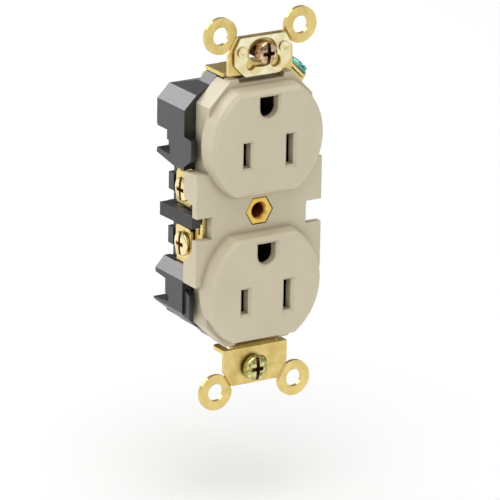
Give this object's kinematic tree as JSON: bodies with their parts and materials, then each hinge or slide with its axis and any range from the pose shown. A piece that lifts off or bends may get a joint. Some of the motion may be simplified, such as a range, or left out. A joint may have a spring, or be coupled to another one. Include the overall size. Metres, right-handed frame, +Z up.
{
  "type": "duplex wall outlet",
  "caption": "Polarised duplex wall outlet with two grounded sockets, side and back wiring terminals and a brass mounting strap with snap-off plaster ears.",
  "frame": {"origin": "centre of the device, midway between the two mounting screws, on the plane of the strap's rear faces, which lie against the wall box", "axes": "+X to the right seen from the room, +Y into the wall, +Z up, ground holes above the blade slots"},
  "size_m": [0.0374, 0.0265, 0.1044],
  "materials": {
    "ivory": "ivory thermoplastic, satin to gloss",
    "black": "black thermoset moulding, satin, lightly textured",
    "strap": "stamped brass strip, satin, lightly tarnished",
    "clip": "thin bright spring brass",
    "bush": "turned brass, bright",
    "contact": "bright rolled brass",
    "nickel": "nickel plated brass, satin",
    "screw_brass": "bright brass plated steel",
    "screw_nickel": "nickel plated steel",
    "bronze": "zinc dichromate plated steel, bronze and iridescent",
    "zinc": "zinc dichromate plated steel, yellow green",
    "green": "green dyed zinc plated steel",
    "fibre": "reddish brown vulcanised fibre"
  },
  "bodies": {
    "base": {"front_cover": "ivory", "rear_body": "black", "mounting_strap": "strap", "cover_screw_bush": "bush", "self_ground_clip": "clip", "hot_terminal": "contact", "hot_contact_upper": "contact", "hot_contact_lower": "contact", "neutral_terminal": "nickel", "neutral_contact_upper": "contact", "neutral_contact_lower": "contact", "ground_contact_upper": "contact", "ground_contact_lower": "contact", "ground_rivet_upper": "contact", "ground_rivet_lower": "contact"},
    "clamp_hot_upper": {"wire_clamp_hot_upper": "contact"},
    "screw_hot_upper": {"terminal_screw_hot_upper": "screw_brass"},
    "clamp_hot_lower": {"wire_clamp_hot_lower": "contact"},
    "screw_hot_lower": {"terminal_screw_hot_lower": "screw_brass"},
    "clamp_neutral_upper": {"wire_clamp_neutral_upper": "nickel"},
    "screw_neutral_upper": {"terminal_screw_neutral_upper": "screw_nickel"},
    "clamp_neutral_lower": {"wire_clamp_neutral_lower": "nickel"},
    "screw_neutral_lower": {"terminal_screw_neutral_lower": "screw_nickel"},
    "ground_clamp": {"ground_wire_clamp": "contact"},
    "ground_screw": {"ground_screw": "green"},
    "retainer_top": {"screw_retainer_top": "fibre"},
    "mount_screw_top": {"mounting_screw_top": "bronze"},
    "retainer_bottom": {"screw_retainer_bottom": "fibre"},
    "mount_screw_bottom": {"mounting_screw_bottom": "zinc"}
  },
  "joints": [
    {"name": "clamp_hot_upper_travel", "type": "slide", "parent": "base", "child": "clamp_hot_upper", "axis": [-1, 0, 0], "range_m": [-0.00026, 0.00159]},
    {"name": "screw_hot_upper_turn", "type": "hinge", "parent": "clamp_hot_upper", "child": "screw_hot_upper", "pos_m": [-0.0153, 0.0082, 0.0056], "axis": [-1, 0, 0], "range_deg": [-121, 721]},
    {"name": "clamp_hot_lower_travel", "type": "slide", "parent": "base", "child": "clamp_hot_lower", "axis": [-1, 0, 0], "range_m": [-0.00026, 0.00159]},
    {"name": "screw_hot_lower_turn", "type": "hinge", "parent": "clamp_hot_lower", "child": "screw_hot_lower", "pos_m": [-0.0153, 0.0082, -0.0089], "axis": [-1, 0, 0], "range_deg": [-121, 721]},
    {"name": "clamp_neutral_upper_travel", "type": "slide", "parent": "base", "child": "clamp_neutral_upper", "axis": [1, 0, 0], "range_m": [-0.00026, 0.00159]},
    {"name": "screw_neutral_upper_turn", "type": "hinge", "parent": "clamp_neutral_upper", "child": "screw_neutral_upper", "pos_m": [0.0153, 0.0082, 0.0056], "axis": [1, 0, 0], "range_deg": [-121, 721]},
    {"name": "clamp_neutral_lower_travel", "type": "slide", "parent": "base", "child": "clamp_neutral_lower", "axis": [1, 0, 0], "range_m": [-0.00026, 0.00159]},
    {"name": "screw_neutral_lower_turn", "type": "hinge", "parent": "clamp_neutral_lower", "child": "screw_neutral_lower", "pos_m": [0.0153, 0.0082, -0.0089], "axis": [1, 0, 0], "range_deg": [-121, 721]},
    {"name": "ground_clamp_travel", "type": "slide", "parent": "base", "child": "ground_clamp", "axis": [0.7071, 0, 0.7071], "range_m": [-0.00026, 0.00159]},
    {"name": "ground_screw_turn", "type": "hinge", "parent": "ground_clamp", "child": "ground_screw", "pos_m": [0.01289, 0.0047, 0.03366], "axis": [0.7071, 0, 0.7071], "range_deg": [-121, 721]},
    {"name": "retainer_top_travel", "type": "slide", "parent": "base", "child": "retainer_top", "axis": [1, 0, 0], "range_m": [-0.0013, 0.0007]},
    {"name": "mount_screw_top_turn", "type": "hinge", "parent": "retainer_top", "child": "mount_screw_top", "pos_m": [0.0005, 0, 0.042], "axis": [0, -1, 0], "continuous": true},
    {"name": "retainer_bottom_travel", "type": "slide", "parent": "base", "child": "retainer_bottom", "axis": [1, 0, 0], "range_m": [-0.0007, 0.0023]},
    {"name": "mount_screw_bottom_turn", "type": "hinge", "parent": "retainer_bottom", "child": "mount_screw_bottom", "pos_m": [-0.0008, 0, -0.04205], "axis": [0, -1, 0], "continuous": true}
  ],
  "couplings": [
    {"joint": "screw_hot_upper_turn", "follows": "clamp_hot_upper_travel", "rad_per_m": 7915.8},
    {"joint": "screw_hot_lower_turn", "follows": "clamp_hot_lower_travel", "rad_per_m": 7915.8},
    {"joint": "screw_neutral_upper_turn", "follows": "clamp_neutral_upper_travel", "rad_per_m": 7915.8},
    {"joint": "screw_neutral_lower_turn", "follows": "clamp_neutral_lower_travel", "rad_per_m": 7915.8},
    {"joint": "ground_screw_turn", "follows": "ground_clamp_travel", "rad_per_m": 7915.8}
  ]
}
